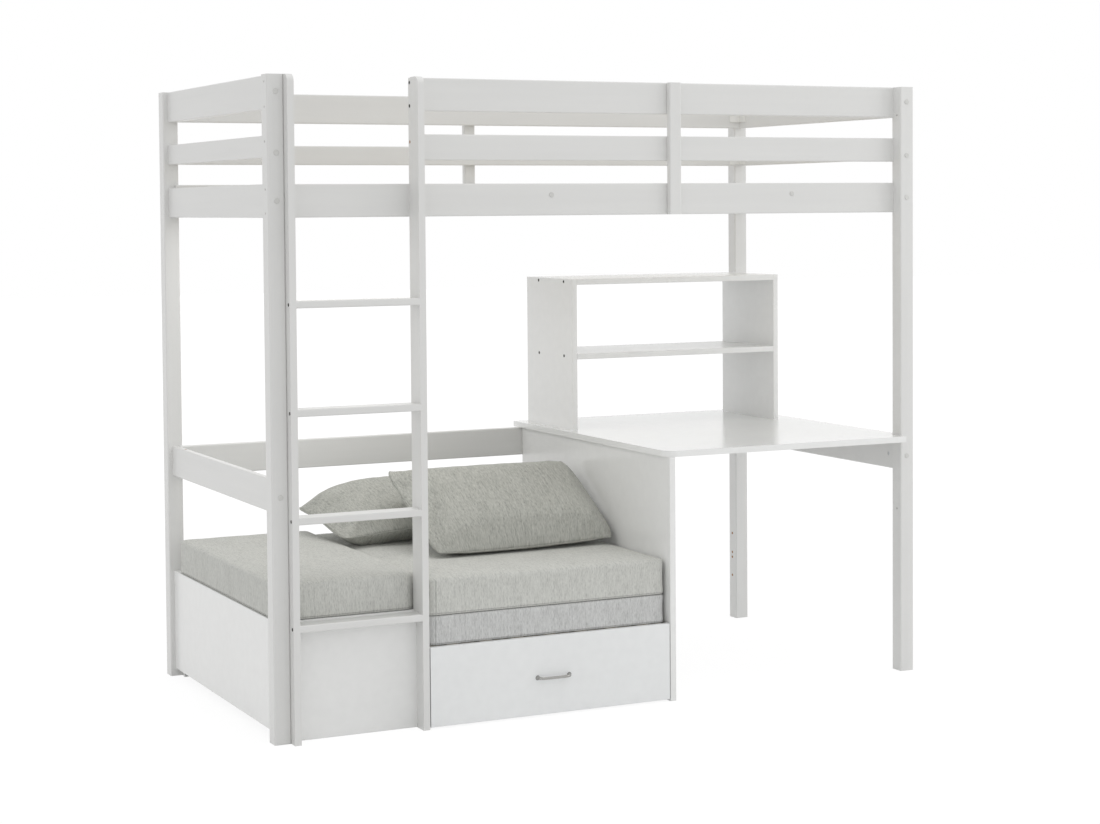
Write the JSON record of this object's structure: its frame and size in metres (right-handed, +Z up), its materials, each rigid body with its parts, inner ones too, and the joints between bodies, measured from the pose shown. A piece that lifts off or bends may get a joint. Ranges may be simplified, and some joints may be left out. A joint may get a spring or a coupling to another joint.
{
  "type": "cabin bed",
  "caption": "Loft bed over a desk with a shelf unit and a cushioned seat whose slatted bed pulls out, with an upright ladder and guard boards.",
  "frame": {"origin": "middle of the whole footprint, on the floor", "axes": "+X along the bed towards the desk end, +Y from the ladder side to the back, +Z up"},
  "size_m": [2.08, 1.0944, 1.805],
  "materials": {
    "white_wood": "satin white lacquer",
    "white_panel": "satin white lacquered board",
    "slat_wood": "plain sanded",
    "steel": "brushed",
    "white_plastic": "satin",
    "wheel_plastic": "matt",
    "grey_fabric": "light grey melange weave"
  },
  "bodies": {
    "frame": {"post_front_left": "white_wood", "post_front_right": "white_wood", "post_back_left": "white_wood", "post_back_right": "white_wood", "rail_front_low": "white_wood", "rail_front_mid": "white_wood", "rail_front_top": "white_wood", "rail_back_low": "white_wood", "rail_back_mid": "white_wood", "rail_back_top": "white_wood", "rail_back_arm": "white_wood", "end_rail_left_low": "white_wood", "end_rail_left_mid": "white_wood", "end_rail_left_top": "white_wood", "end_rail_left_arm": "white_wood", "end_rail_right_low": "white_wood", "end_rail_right_mid": "white_wood", "end_rail_right_top": "white_wood", "end_rail_right_desk": "white_wood", "guard_support_front": "white_wood", "guard_support_back": "white_wood", "ladder_stile_left": "white_wood", "ladder_stile_right": "white_wood", "ladder_rungs": "white_wood", "bed_ledgers": "slat_wood", "bed_slats": "slat_wood", "desk_top": "white_panel", "desk_side_panel": "white_panel", "shelf_side_left": "white_panel", "shelf_side_right": "white_panel", "shelf_board_top": "white_panel", "shelf_board_mid": "white_panel", "seat_end_panel": "white_panel", "seat_front_panel": "white_panel", "seat_divider": "white_panel", "seat_back_panel": "white_panel", "seat_deck": "white_panel", "deck_front_beam": "slat_wood", "deck_back_beam": "slat_wood", "deck_slats": "slat_wood", "frame_bolts": "steel", "bolt_caps": "white_plastic", "barrel_nuts": "steel", "corner_brackets": "steel", "seat_cushion": "grey_fabric", "mattress_lower": "grey_fabric"},
    "pull_out_bed": {"drawer_front": "white_panel", "drawer_header": "slat_wood", "drawer_sides": "white_panel", "drawer_back": "slat_wood", "drawer_slats": "slat_wood", "drawer_handle": "steel", "caster_brackets": "steel"},
    "wheel_front_left_body": {"wheel_front_left": "wheel_plastic"},
    "wheel_front_right_body": {"wheel_front_right": "wheel_plastic"},
    "wheel_back_left_body": {"wheel_back_left": "wheel_plastic"},
    "wheel_back_right_body": {"wheel_back_right": "wheel_plastic"},
    "upper_layer_body": {"mattress_upper": "grey_fabric"},
    "pillow_left_body": {"pillow_left": "grey_fabric"},
    "pillow_right_body": {"pillow_right": "grey_fabric"}
  },
  "joints": [
    {"name": "pull_out_slide", "type": "slide", "parent": "frame", "child": "pull_out_bed", "axis": [0, -1, 0], "range_m": [0, 0.88]},
    {"name": "wheel_front_left_spin", "type": "hinge", "parent": "pull_out_bed", "child": "wheel_front_left_body", "pos_m": [-0.563, -0.43475, 0.022], "axis": [1, 0, 0], "range_deg": [0, 2295]},
    {"name": "wheel_front_right_spin", "type": "hinge", "parent": "pull_out_bed", "child": "wheel_front_right_body", "pos_m": [0.126, -0.43475, 0.022], "axis": [1, 0, 0], "range_deg": [0, 2295]},
    {"name": "wheel_back_left_spin", "type": "hinge", "parent": "pull_out_bed", "child": "wheel_back_left_body", "pos_m": [-0.563, 0.37625, 0.022], "axis": [1, 0, 0], "range_deg": [0, 2295]},
    {"name": "wheel_back_right_spin", "type": "hinge", "parent": "pull_out_bed", "child": "wheel_back_right_body", "pos_m": [0.126, 0.37625, 0.022], "axis": [1, 0, 0], "range_deg": [0, 2295]},
    {"name": "upper_layer_lift", "type": "slide", "parent": "frame", "child": "upper_layer_body", "axis": [0, 0, 1], "range_m": [0, 0.2]},
    {"name": "pillow_left_lift", "type": "slide", "parent": "upper_layer_body", "child": "pillow_left_body", "axis": [0, 0, 1], "range_m": [0, 0.25]},
    {"name": "pillow_right_lift", "type": "slide", "parent": "pillow_left_body", "child": "pillow_right_body", "axis": [0, 0, 1], "range_m": [0, 0.25]}
  ],
  "couplings": [
    {"joint": "wheel_front_left_spin", "follows": "pull_out_slide", "rad_per_m": 45.455},
    {"joint": "wheel_front_right_spin", "follows": "pull_out_slide", "rad_per_m": 45.455},
    {"joint": "wheel_back_left_spin", "follows": "pull_out_slide", "rad_per_m": 45.455},
    {"joint": "wheel_back_right_spin", "follows": "pull_out_slide", "rad_per_m": 45.455}
  ]
}
